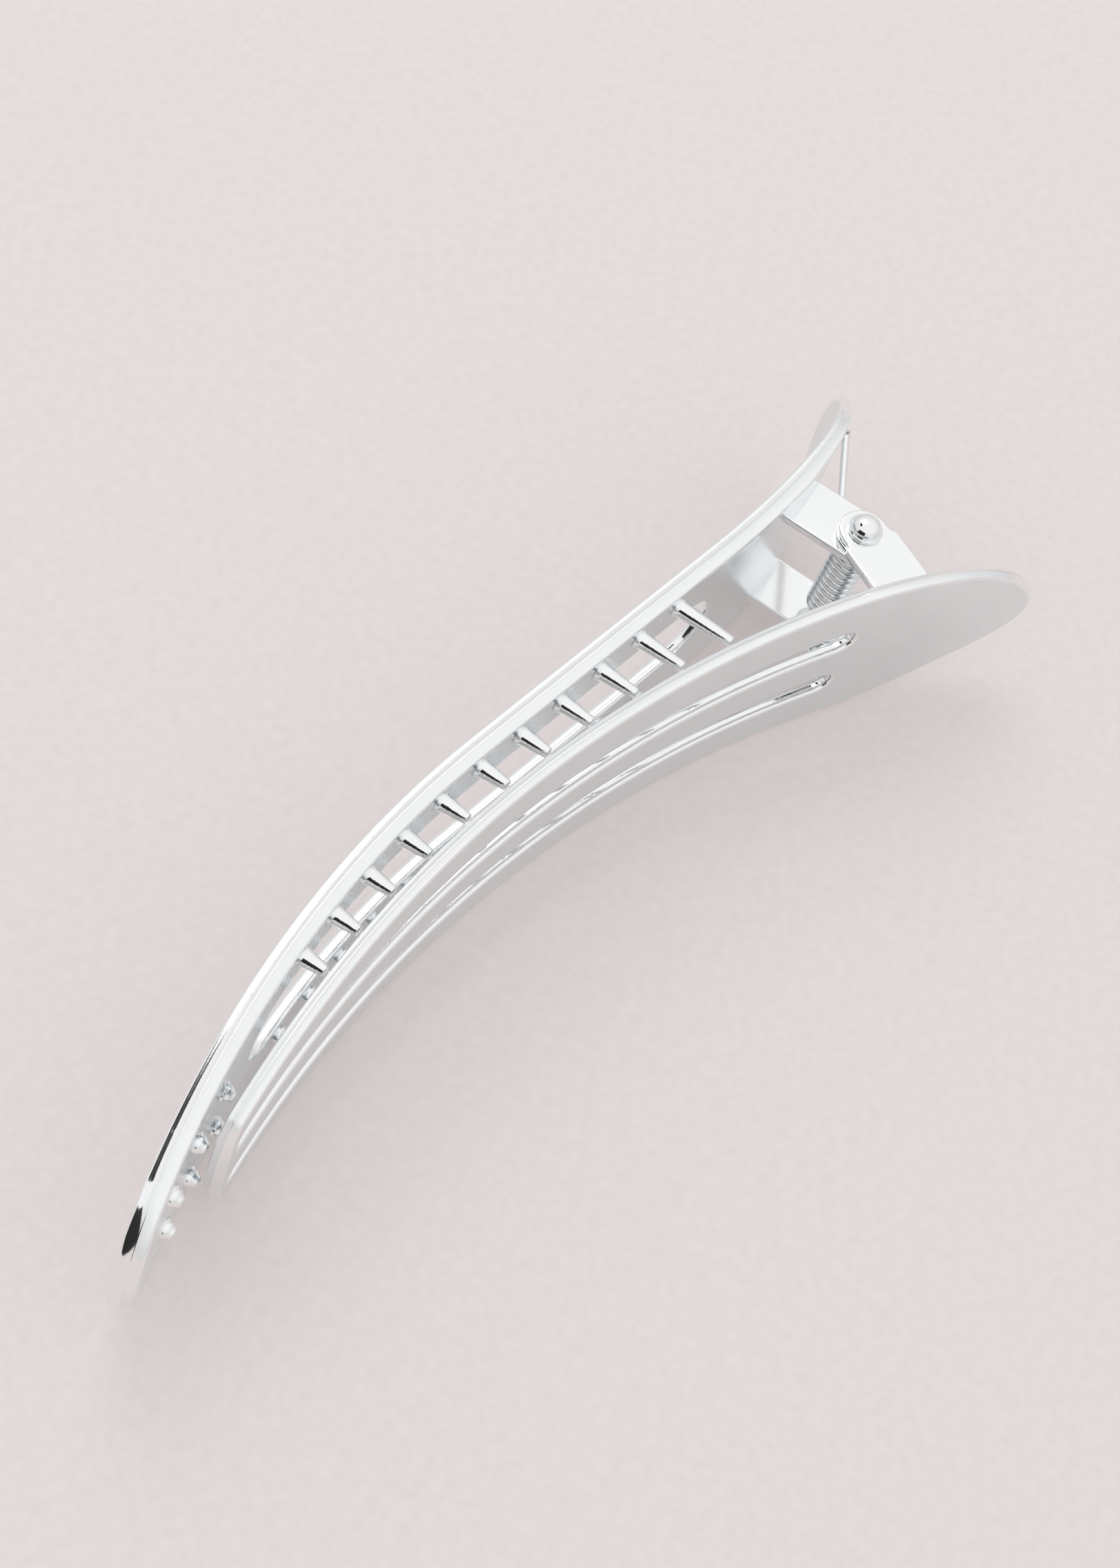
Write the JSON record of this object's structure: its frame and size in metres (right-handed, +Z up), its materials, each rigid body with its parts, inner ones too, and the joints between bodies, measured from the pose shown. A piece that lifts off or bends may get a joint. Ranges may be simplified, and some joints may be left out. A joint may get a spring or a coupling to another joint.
{
  "type": "alligator hair clip",
  "caption": "Long curved alligator hair clip: two slotted cast jaws with teeth on a riveted hinge, held shut by a torsion spring.",
  "frame": {"origin": "centre of the bottom of the closed clip's bounding box, the clip lying on its side", "axes": "+X from the jaw tips to the thumb paddles, +Y from the front jaw to the back jaw, +Z up along the pin axis"},
  "size_m": [0.1116, 0.034, 0.0198],
  "materials": {
    "plated_casting": "bright plated edges and teeth, satin outer faces",
    "pin_steel": "polished",
    "spring_steel": "drawn wire, plated"
  },
  "bodies": {
    "back": {"back_jaw": "plated_casting", "hinge_pin": "pin_steel", "torsion_spring": "spring_steel"},
    "front": {"front_jaw": "plated_casting"}
  },
  "joints": [
    {"name": "jaw_hinge", "type": "hinge", "parent": "back", "child": "front", "pos_m": [0.03945, -0.00066, 0.0099], "axis": [0, 0, 1], "range_deg": [0, 40], "stiffness_Nm_per_rad": 0.12, "springref_deg": -28.65, "deforming": ["torsion_spring"]}
  ]
}
